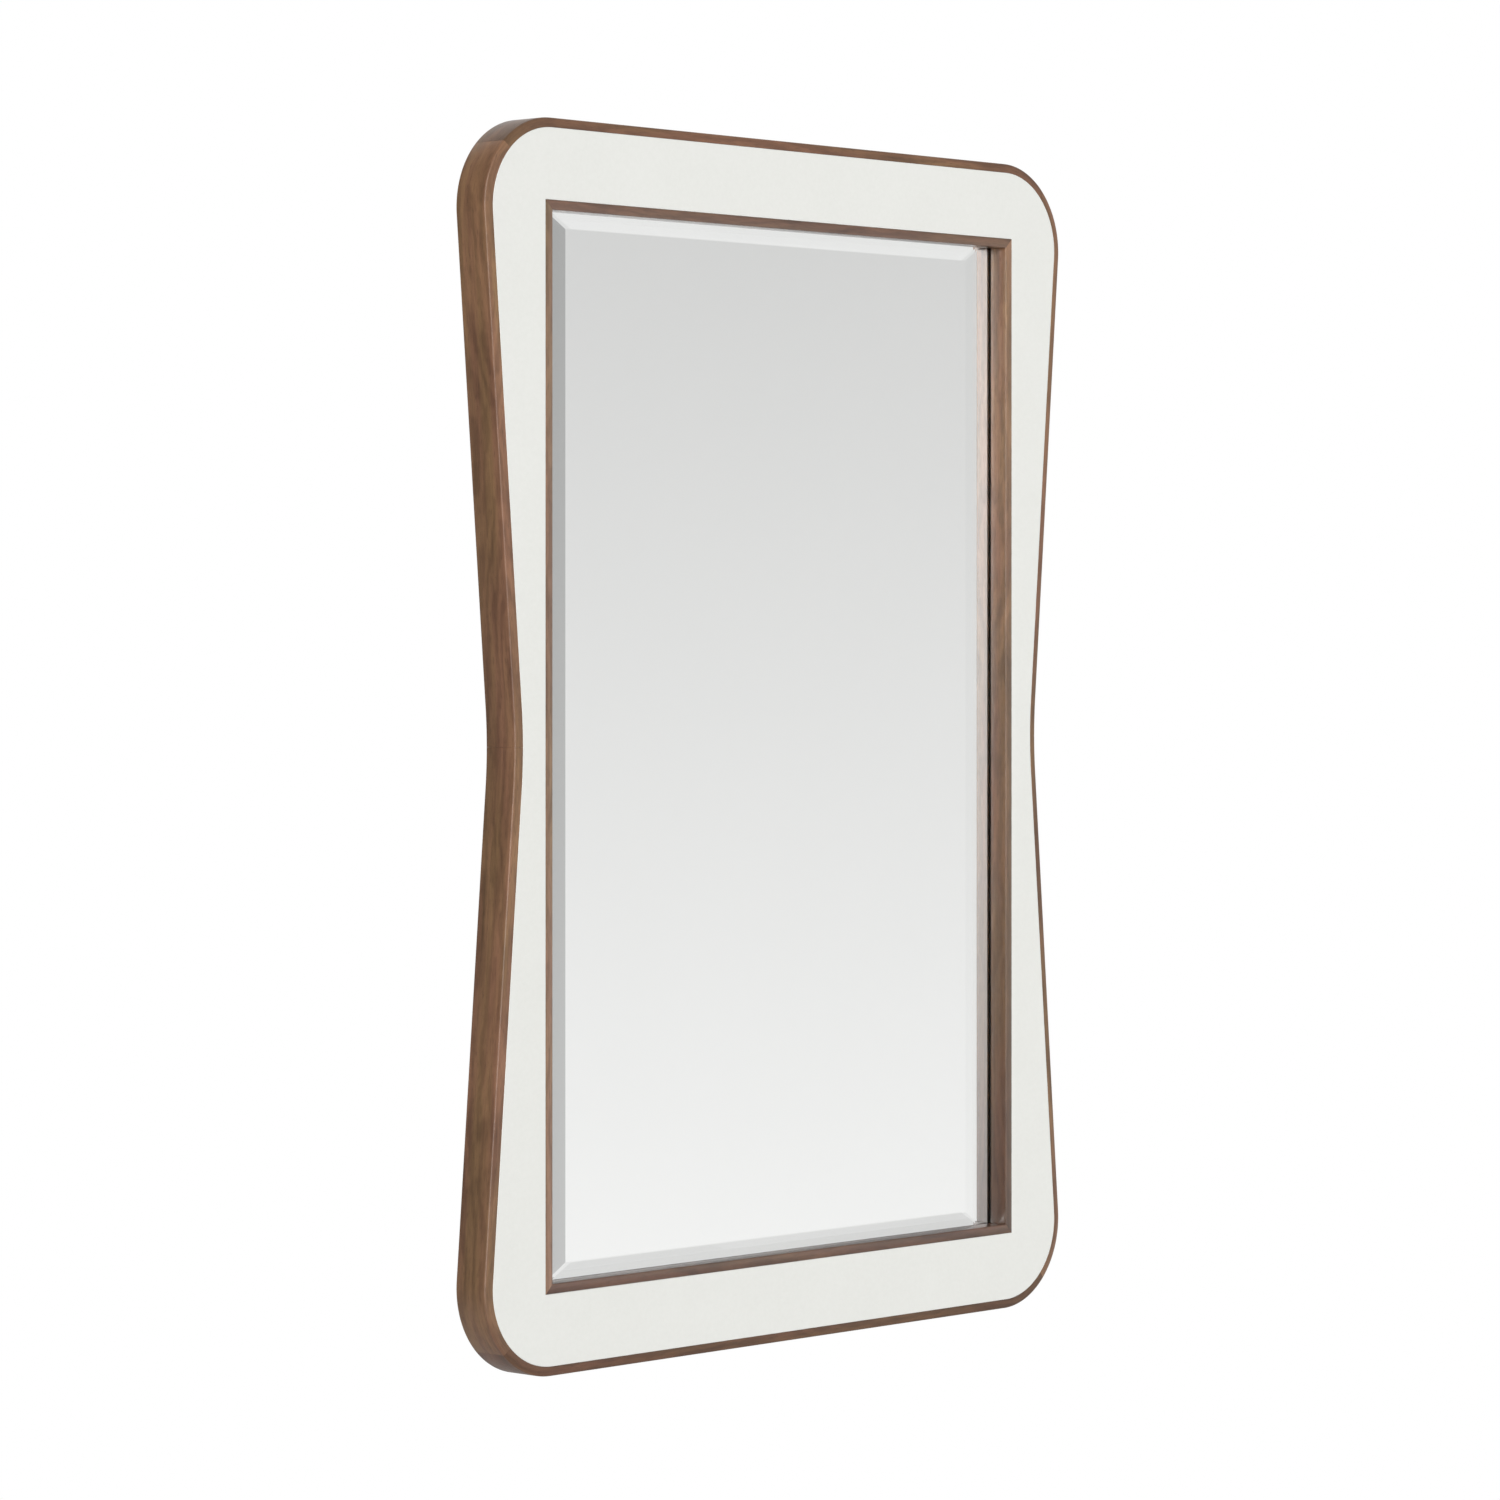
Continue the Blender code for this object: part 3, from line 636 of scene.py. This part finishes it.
def moulding_bar(name, along, side, shift, tones, finish):
    """One bar: a block at its place, mitred at both ends and eased along its front edges.

    along and across count axes (0 for X, 2 for Z), and side says which way from the middle it lies.
    """
    half = Vector((SIGHT_HALF_X, 0.0, SIGHT_HALF_Z))
    across = 2 - along
    centre = Vector((0.0, (FRONT + SIGHT_BACK) / 2, 0.0))
    centre[across] = side * (half[across] - SIGHT_LIP / 2)
    size = Vector((0.0, SIGHT_BACK - FRONT, 0.0))
    size[along] = 2 * half[along]
    size[across] = SIGHT_LIP
    deselect()
    bpy.ops.mesh.primitive_cube_add(size=1.0, location=centre)
    piece = bpy.context.object
    piece.scale = size
    apply_place(piece)
    edit(piece)
    for end in (-1, 1):
        corner = Vector((0.0, 0.0, 0.0))
        corner[along] = end * (half[along] - BAND_JOINT)
        corner[across] = side * half[across]
        inward = Vector((0.0, 0.0, 0.0))
        inward[along] = -end
        inward[across] = side
        bpy.ops.mesh.select_all(action="SELECT")
        bpy.ops.mesh.bisect(plane_co=corner, plane_no=inward, use_fill=True, clear_inner=True)
    bpy.ops.mesh.select_mode(type="EDGE")
    inner = half[across] - SIGHT_LIP
    pick_edges(piece, lambda co: abs(abs(co[across]) - inner) < 1e-5 and co.y < FRONT + 1e-5)
    bpy.ops.mesh.bevel(offset=SIGHT_EASE, segments=4, profile=0.5, affect="EDGES")
    pick_edges(piece, lambda co: abs(abs(co[across]) - half[across]) < 1e-5 and co.y < FRONT + 1e-5)
    bpy.ops.mesh.bevel(offset=SMALL_EASE, segments=2, profile=0.5, affect="EDGES")
    bpy.ops.object.mode_set(mode="OBJECT")
    clean(piece)
    named(piece, f"walnut_sight_{name}")
    lay_grain(piece, lambda co: (co[along], half[across] - abs(co[across]), co.y), shift, tones)
    dress(piece, finish, [f"sight_moulding_{name}"])


def sight_moulding(finish):
    bars = (
        ("top", 0, 1, (2.3, 0.30, 0.11), SIGHT_TOP_TONES),
        ("bottom", 0, -1, (5.9, 0.13, 0.27), SIGHT_BOTTOM_TONES),
        ("left", 2, -1, (8.8, 0.21, 0.05), SIGHT_LEFT_TONES),
        # The right bar's tones hold painted sheen at the top and painted shade at the bottom
        ("right", 2, 1, (12.1, 0.17, 0.33), SIGHT_RIGHT_TONES_WITH_PAINTED_LIGHT),
    )
    for side, along, sign, shift, tones in bars:
        moulding_bar(side, along, sign, shift, tones, finish)


# --- face ------------------------------------------------------------------------------------------

def face_outline(inset):
    """The outline of the face as one closed run of points."""
    quarter = []
    for i in range(49):
        turn = math.pi / 2 - (math.pi / 2 + TAPER) * i / 48
        radius = CORNER_RADIUS - inset
        quarter.append((CORNER_CENTRE.x + radius * math.cos(turn), CORNER_CENTRE.z + radius * math.sin(turn)))
    for i in range(17):
        turn = math.pi - TAPER + TAPER * i / 16
        radius = WAIST_RADIUS + inset
        quarter.append((WAIST_CENTRE.x + radius * math.cos(turn), radius * math.sin(turn)))
    right = quarter + [(x, -z) for x, z in quarter[-2::-1]]
    return right + [(-x, z) for x, z in right[::-1]]


def add_spline(curve, points):
    spline = curve.splines.new("POLY")
    spline.points.add(len(points) - 1)
    for point, (x, z) in zip(spline.points, points):
        point.co = (x, z, 0.0, 1.0)
    spline.use_cyclic_u = True


def ivory_face(finish):
    """A flat sheet cut to the outline and the sight opening, thickened, with softly rolled rims."""
    curve = bpy.data.curves.new("ivory_face", "CURVE")
    curve.dimensions = "2D"
    curve.fill_mode = "BOTH"
    add_spline(curve, face_outline(BAND_THICKNESS + BAND_JOINT))
    x, z = SIGHT_HALF_X + BAND_JOINT, SIGHT_HALF_Z + BAND_JOINT
    add_spline(curve, [(-x, -z), (x, -z), (x, z), (-x, z)])
    sheet = bpy.data.objects.new("ivory_face", curve)
    bpy.context.scene.collection.objects.link(sheet)
    activate(sheet)
    bpy.ops.object.convert(target="MESH")
    piece = bpy.context.object
    piece.rotation_euler = (math.radians(90), 0.0, 0.0)
    piece.location = (0.0, FRONT, 0.0)
    apply_place(piece)
    edit(piece)
    bpy.ops.mesh.select_all(action="SELECT")
    bpy.ops.mesh.remove_doubles(threshold=1e-6)
    bpy.ops.mesh.dissolve_limited(angle_limit=math.radians(0.1), use_dissolve_boundaries=False)
    bpy.ops.mesh.select_all(action="SELECT")
    thickness = FACE_HIGH.y - FACE_LOW.y
    bpy.ops.mesh.extrude_region_move(TRANSFORM_OT_translate={"value": (0.0, thickness, 0.0)})
    bpy.ops.mesh.select_all(action="SELECT")
    bpy.ops.mesh.normals_make_consistent(inside=False)
    bpy.ops.mesh.select_mode(type="EDGE")
    pick(piece, "edges", lambda edge: all(vert.co.y < FRONT + 1e-5 for vert in edge.verts)
         and any(abs(face.normal.y) < 0.5 for face in edge.link_faces))
    bpy.ops.mesh.bevel(offset=FACE_EASE, segments=3, profile=0.5, affect="EDGES")
    bpy.ops.object.mode_set(mode="OBJECT")
    clean(piece, 40)
    flatten = piece.modifiers.new("flatten", "WEIGHTED_NORMAL")
    flatten.keep_sharp = True
    apply_modifier(piece, flatten)
    named(piece, "ivory_face")
    dress(piece, finish, ["face_panel"])


# --- mirror plate ----------------------------------------------------------------------------------

def silver_coat(finish):
    """The reflecting layer at the back of the plate."""
    deselect()
    centre = (PLATE_LOW + PLATE_HIGH) / 2
    bpy.ops.mesh.primitive_cube_add(size=1.0, location=(centre.x, PLATE_HIGH.y - SILVER_INSET, centre.z))
    piece = bpy.context.object
    width, height = PLATE_HIGH.x - PLATE_LOW.x, PLATE_HIGH.z - PLATE_LOW.z
    piece.scale = (width - SILVER_MARGIN, SILVER_THICKNESS, height - SILVER_MARGIN)
    apply_place(piece)
    edit(piece, "EDGE")
    pick(piece, "edges", lambda edge: abs(edge.verts[0].co.x - edge.verts[1].co.x) < 1e-6
         and abs(edge.verts[0].co.z - edge.verts[1].co.z) < 1e-6)
    bpy.ops.mesh.bevel(offset=SILVER_CORNER, segments=3, profile=0.5, affect="EDGES")
    bpy.ops.object.mode_set(mode="OBJECT")
    clean(piece)
    named(piece, "silver_coat")
    dress(piece, finish)


def painted_shade_edge_wall(finish):
    """Painted shade at the plate's edge: a near-black thin wall all the way round, just inside the plate's
    ground edges, that darkens the gap line there.
    """
    deselect()
    centre = (PLATE_LOW + PLATE_HIGH) / 2
    front = PLATE_HIGH.y - SHADE_WALL_DEPTH
    middle = (front + PLATE_HIGH.y) / 2 - SHADE_WALL_OFF_BACK
    bpy.ops.mesh.primitive_cube_add(size=1.0, location=(centre.x, middle, centre.z))
    piece = bpy.context.object
    width, height = PLATE_HIGH.x - PLATE_LOW.x, PLATE_HIGH.z - PLATE_LOW.z
    piece.scale = (width - SHADE_WALL_MARGIN, SHADE_WALL_DEPTH - 2 * SHADE_WALL_MARGIN, height - SHADE_WALL_MARGIN)
    apply_place(piece)
    edit(piece)
    pick(piece, "faces", lambda face: abs(face.normal.y) > 0.9)
    bpy.ops.mesh.inset(thickness=SHADE_WALL_THICKNESS, depth=0.0)
    bpy.ops.mesh.bridge_edge_loops(use_merge=False)
    bpy.ops.object.mode_set(mode="OBJECT")
    clean(piece)
    named(piece, "painted_shade_edge_wall")
    dress(piece, finish)


# --- fittings --------------------------------------------------------------------------------------

def cross_recess(y_top, depth):
    """Cutter for a cross recess: two crossed tapering blades."""
    blades = []
    for turn in (0.0, math.radians(90)):
        deselect()
        bpy.ops.mesh.primitive_cone_add(
            vertices=4, radius1=0.0026, radius2=0.0009, depth=depth, location=(0.0, 0.0, 0.0))
        blade = bpy.context.object
        blade.rotation_euler = (math.radians(90), math.radians(45), 0.0)
        apply_place(blade)
        blade.scale = (1.0, 1.0, 0.32)
        blade.rotation_euler = (0.0, turn, 0.0)
        blade.location = (0.0, y_top - depth / 2 + 0.0001, 0.0)
        apply_place(blade)
        blades.append(blade)
    return blades


def pan_screw(node):
    """A pan-head screw modelled at the origin of X and Z, with its head where the node's head is."""
    low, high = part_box(node)
    head_radius = (high.x - low.x) / 2
    deselect()
    under = high.y - HEAD_HEIGHT
    bpy.ops.mesh.primitive_cylinder_add(
        vertices=40, radius=head_radius, depth=HEAD_HEIGHT * 0.45,
        location=(0.0, under + HEAD_HEIGHT * 0.225, 0.0), rotation=(math.radians(90), 0.0, 0.0))
    piece = bpy.context.object
    apply_place(piece)
    edit(piece)
    top = under + HEAD_HEIGHT * 0.45
    pick(piece, "faces", lambda face: face.calc_center_median().y > top - 1e-5 and abs(face.normal.y) > 0.9)
    for inset, rise in ((0.00028, 0.40), (0.0006, 0.27), (0.0009, 0.22), (0.0009, 0.11)):
        bpy.ops.mesh.inset(thickness=inset, depth=0.0)
        bpy.ops.transform.translate(value=(0.0, HEAD_HEIGHT * 0.55 * rise, 0.0))
    pick(piece, "faces", lambda face: face.calc_center_median().y < under + 1e-5 and abs(face.normal.y) > 0.9)
    bpy.ops.mesh.inset(thickness=head_radius - SHANK_RADIUS, depth=0.0)
    length = under - low.y
    bpy.ops.mesh.extrude_region_move(TRANSFORM_OT_translate={"value": (0.0, -(length - SCREW_POINT), 0.0)})
    bpy.ops.mesh.extrude_region_move(TRANSFORM_OT_translate={"value": (0.0, -SCREW_POINT, 0.0)})
    bpy.ops.transform.resize(value=(0.2, 1.0, 0.2))
    bpy.ops.object.mode_set(mode="OBJECT")
    for blade in cross_recess(high.y, RECESS_DEPTH):
        cut_away(piece, blade)
    clean(piece, 32)
    return piece


def screws(finish):
    for prefix in ("board_screw_", "hanger_screw_"):
        nodes = sorted(name for name in frame["nodes"] if name.startswith(prefix))
        model = pan_screw(nodes[0])
        for index, node in enumerate(nodes):
            low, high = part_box(node)
            place = Vector(((low.x + high.x) / 2, 0.0, (low.z + high.z) / 2))
            turn = Matrix.Rotation(math.radians(37 * index), 4, "Y")
            piece = copy_of(model, "zinc_" + node, Matrix.Translation(place) @ turn)
            dress(piece, finish, [node])
        bpy.data.objects.remove(model, do_unlink=True)


def hanger_places():
    """Each hanger's side, and the middle of the bar that its ring turns on."""
    for joint in frame["joints"]:
        side = "left" if joint["child"].endswith("left") else "right"
        yield side, Vector(joint["pos_m"])


def strap(side, pivot, finish):
    """A strap: a flat leg with a rounded foot, its top rolled round the ring."""
    low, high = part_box(f"hanger_strap_{side}")
    leg = pivot.z - low.z
    deselect()
    bpy.ops.mesh.primitive_cube_add(
        size=1.0, location=(pivot.x, low.y + STRAP_THICKNESS / 2, low.z + leg / 2))
    piece = bpy.context.object
    piece.scale = (high.x - low.x, STRAP_THICKNESS, leg)
    apply_place(piece)
    edit(piece)
    pick(piece, "faces", lambda face: face.normal.z > 0.9)
    bpy.ops.mesh.spin(steps=22, angle=STRAP_ROLL, center=pivot, axis=(1.0, 0.0, 0.0))
    bpy.ops.mesh.select_mode(type="EDGE")
    pick(piece, "edges", lambda edge: all(vert.co.z < low.z + 1e-5 for vert in edge.verts)
         and abs(edge.verts[0].co.x - edge.verts[1].co.x) < 1e-6)
    bpy.ops.mesh.bevel(offset=STRAP_FOOT_RADIUS, segments=8, profile=0.5, affect="EDGES")
    bpy.ops.object.mode_set(mode="OBJECT")
    clean(piece, 32)
    nodes = sorted(name for name in frame["nodes"] if name.startswith("hanger_screw_"))
    for node in nodes:
        screw_low, screw_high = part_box(node)
        centre = (screw_low + screw_high) / 2
        if abs(centre.x - pivot.x) < 0.05:
            deselect()
            bpy.ops.mesh.primitive_cylinder_add(
                vertices=32, radius=STRAP_HOLE_RADIUS, depth=0.01, location=(centre.x, low.y, centre.z),
                rotation=(math.radians(90), 0.0, 0.0))
            hole = bpy.context.object
            apply_place(hole)
            cut_away(piece, hole)
    edge_ease = piece.modifiers.new("ease", "BEVEL")
    edge_ease.width = STRAP_EASE
    edge_ease.segments = 2
    edge_ease.limit_method = "ANGLE"
    edge_ease.angle_limit = math.radians(50)
    apply_modifier(piece, edge_ease)
    clean(piece, 32)
    named(piece, f"zinc_hanger_strap_{side}")
    dress(piece, finish, [f"hanger_strap_{side}"])


def ring(side, pivot, finish):
    """A ring of round wire: a straight bar in the strap and a bow below it."""
    low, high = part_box(f"hanger_ring_{side}")
    wire = (high.y - low.y) / 2
    half = (high.x - low.x) / 2 - wire
    drop = pivot.z - low.z - wire
    corner = RING_CORNER
    path = []
    for i in range(9):
        turn = math.pi / 2 * (1 - i / 8)
        path.append((half - corner + corner * math.cos(turn), corner * math.sin(turn) - corner))
    for i in range(33):
        turn = -math.pi * i / 32
        path.append((half * math.cos(turn), half - drop + half * math.sin(turn)))
    for i in range(9):
        turn = math.pi - math.pi / 2 * i / 8
        path.append((corner - half + corner * math.cos(turn), corner * math.sin(turn) - corner))
    curve = bpy.data.curves.new("ring_wire", "CURVE")
    curve.dimensions = "3D"
    curve.bevel_depth = wire
    curve.bevel_resolution = 6
    spline = curve.splines.new("POLY")
    spline.points.add(len(path) - 1)
    for point, (x, z) in zip(spline.points, path):
        point.co = (pivot.x + x, pivot.y, pivot.z + z, 1.0)
    spline.use_cyclic_u = True
    wire_object = bpy.data.objects.new("ring_wire", curve)
    bpy.context.scene.collection.objects.link(wire_object)
    activate(wire_object)
    bpy.ops.object.convert(target="MESH")
    piece = bpy.context.object
    clean(piece, 60)
    named(piece, f"zinc_hanger_ring_{side}")
    dress(piece, finish, [f"hanger_ring_{side}"], f"hanger_ring_{side}")


# --- carried-over nodes ----------------------------------------------------------------------------

def finish_nodes(finishes):
    """Give the nodes that stay as they are their finishes."""
    for prefix, finish in finishes:
        for name, node in frame["nodes"].items():
            if name.startswith(prefix):
                paint(node, finish)


# --- studio ----------------------------------------------------------------------------------------

def studio_world():
    """White behind the object, and for all other light a brightness by direction.

    Azimuth is in degrees from the front of the object towards +X, and height in degrees up. The walls
    darken upwards, a window stands at the front left, and the light behind the object falls on its back.
    """
    world = bpy.data.worlds.new("studio")
    bpy.context.scene.world = world
    world.use_nodes = True
    tree = world.node_tree
    backdrop = tree.nodes["Background"]
    backdrop.inputs["Color"].default_value = rgb(1.0, 1.0, 1.0)
    out = tree.nodes["World Output"]
    direction = tree.nodes.new("ShaderNodeTexCoord").outputs["Generated"]
    split = tree.nodes.new("ShaderNodeSeparateXYZ")
    tree.links.new(direction, split.inputs[0])
    toward_front = calc(tree, "MULTIPLY", split.outputs[1], -1.0)
    azimuth = calc(tree, "ARCTAN2", split.outputs[0], toward_front)
    azimuth = calc(tree, "MULTIPLY", azimuth, 180 / math.pi)
    height = calc(tree, "MULTIPLY", calc(tree, "ARCSINE", split.outputs[2]), 180 / math.pi)

    low_wall = remap(tree, height, -7.5, 5.0, 0.985, 0.700)
    high_wall = remap(tree, height, 8.0, 40.0, 0.0, -0.08, smooth=True)
    wall = calc(tree, "ADD", low_wall, high_wall)
    wall = calc(tree, "MULTIPLY", wall, remap(tree, azimuth, 50.3, 51.5, 1.0, 0.60))
    wall = calc(tree, "MULTIPLY", wall, remap(tree, azimuth, -100.0, -55.0, 0.22, 0.62, smooth=True))
    wall = calc(tree, "MULTIPLY", wall, remap(tree, azimuth, 25.0, 38.0, 1.0, 1.0 / 0.62, smooth=True))
    wall = calc(tree, "MULTIPLY", wall, remap(tree, azimuth, 80.0, 115.0, 1.0, 2.3, smooth=True))

    slanted = calc(tree, "ADD", azimuth, remap(tree, height, -5.0, 1.0, 0.0, 11.0))
    window = remap(tree, slanted, -53.0, -45.0, smooth=True)
    window = calc(tree, "MULTIPLY", window, remap(tree, azimuth, -32.0, -20.0, 1.0, 0.0, smooth=True))
    window = calc(tree, "MULTIPLY", window, remap(tree, height, -13.0, 1.0, smooth=True))
    window = calc(tree, "MULTIPLY", window, remap(tree, height, 24.0, 40.0, 1.0, 0.0, smooth=True))
    bright = calc(tree, "MULTIPLY_ADD", window, 6.3, wall)

    gray = tree.nodes.new("ShaderNodeCombineColor")
    for socket, share in zip(gray.inputs, (1.0, 0.998, 0.992)):
        tree.links.new(calc(tree, "MULTIPLY", bright, share), socket)
    surround = tree.nodes.new("ShaderNodeBackground")
    tree.links.new(gray.outputs[0], surround.inputs["Color"])
    rays = tree.nodes.new("ShaderNodeLightPath")
    mix = tree.nodes.new("ShaderNodeMixShader")
    tree.links.new(rays.outputs["Is Camera Ray"], mix.inputs[0])
    tree.links.new(surround.outputs[0], mix.inputs[1])
    tree.links.new(backdrop.outputs[0], mix.inputs[2])
    tree.links.new(mix.outputs[0], out.inputs["Surface"])


def studio_floor():
    deselect()
    bpy.ops.mesh.primitive_plane_add(size=FLOOR_SIZE, location=(0.0, 0.0, -HALF_HEIGHT - FLOOR_DROP))
    floor = bpy.context.object
    floor.name = "floor"
    made, tree, shader = new_material("pale_floor")
    cloud = noise(tree, stretch(tree, object_place(tree), (1.5, 1.5, 1.5)), 1.0, 3.0)
    color = blend_color(tree, cloud, rgb(0.80, 0.80, 0.79), rgb(0.84, 0.84, 0.83))
    tree.links.new(color, shader.inputs["Base Color"])
    shader.inputs["Roughness"].default_value = 0.7
    floor.data.materials.append(made)


def studio_camera():
    data = bpy.data.cameras.new("camera")
    data.sensor_width = 36.0
    data.lens = CAMERA_LENS
    data.shift_y = CAMERA_SHIFT
    camera = bpy.data.objects.new("camera", data)
    camera.location = CAMERA_OFFSET + Vector((0.0, FRONT, 0.0))
    camera.rotation_euler = (math.radians(90), 0.0, -CAMERA_YAW)
    bpy.context.scene.collection.objects.link(camera)
    bpy.context.scene.camera = camera
    bpy.context.scene.view_settings.view_transform = "Standard"


# --- the whole -------------------------------------------------------------------------------------

def main():
    studio_camera()
    studio_world()
    studio_floor()

    edge_band(walnut("walnut_band", gloss=0.38, lacquer=0.15))
    sight_moulding(walnut("walnut_sight", gloss=0.34, lacquer=1.0))
    ivory_face(ivory())
    silver_coat(silver())
    # Near-black matte for the painted shade at the plate's edge
    painted_shade_edge_wall(matte("painted_shade_edge_wall", rgb(0.012, 0.011, 0.010), rgb(0.024, 0.022, 0.020), 900.0))
    screws(zinc("zinc_screw", 0.28))
    strap_finish = zinc("zinc_strap", 0.34)
    ring_finish = zinc("zinc_ring", 0.24)
    for side, pivot in hanger_places():
        strap(side, pivot, strap_finish)
        ring(side, pivot, ring_finish)

    rail = core_timber("core_rail_timber", (3.0, 45.0, 45.0))
    stile = core_timber("core_stile_timber", (45.0, 45.0, 3.0))
    rubber = rgb(0.020, 0.020, 0.021), rgb(0.045, 0.045, 0.047), 900.0
    finish_nodes((
        ("mirror_plate", clear_glass()),
        ("core_front_rail", rail),
        ("core_rear_rail", rail),
        ("core_front_stile", stile),
        ("core_rear_stile", stile),
        ("backing_board", hardboard()),
        ("setting_block", matte("block_rubber", *rubber)),
        ("side_block", matte("side_block_rubber", *rubber)),
        ("pressure_pad", matte("pad_foam", rgb(0.16, 0.16, 0.17), rgb(0.30, 0.30, 0.31), 1400.0)),
    ))


main()
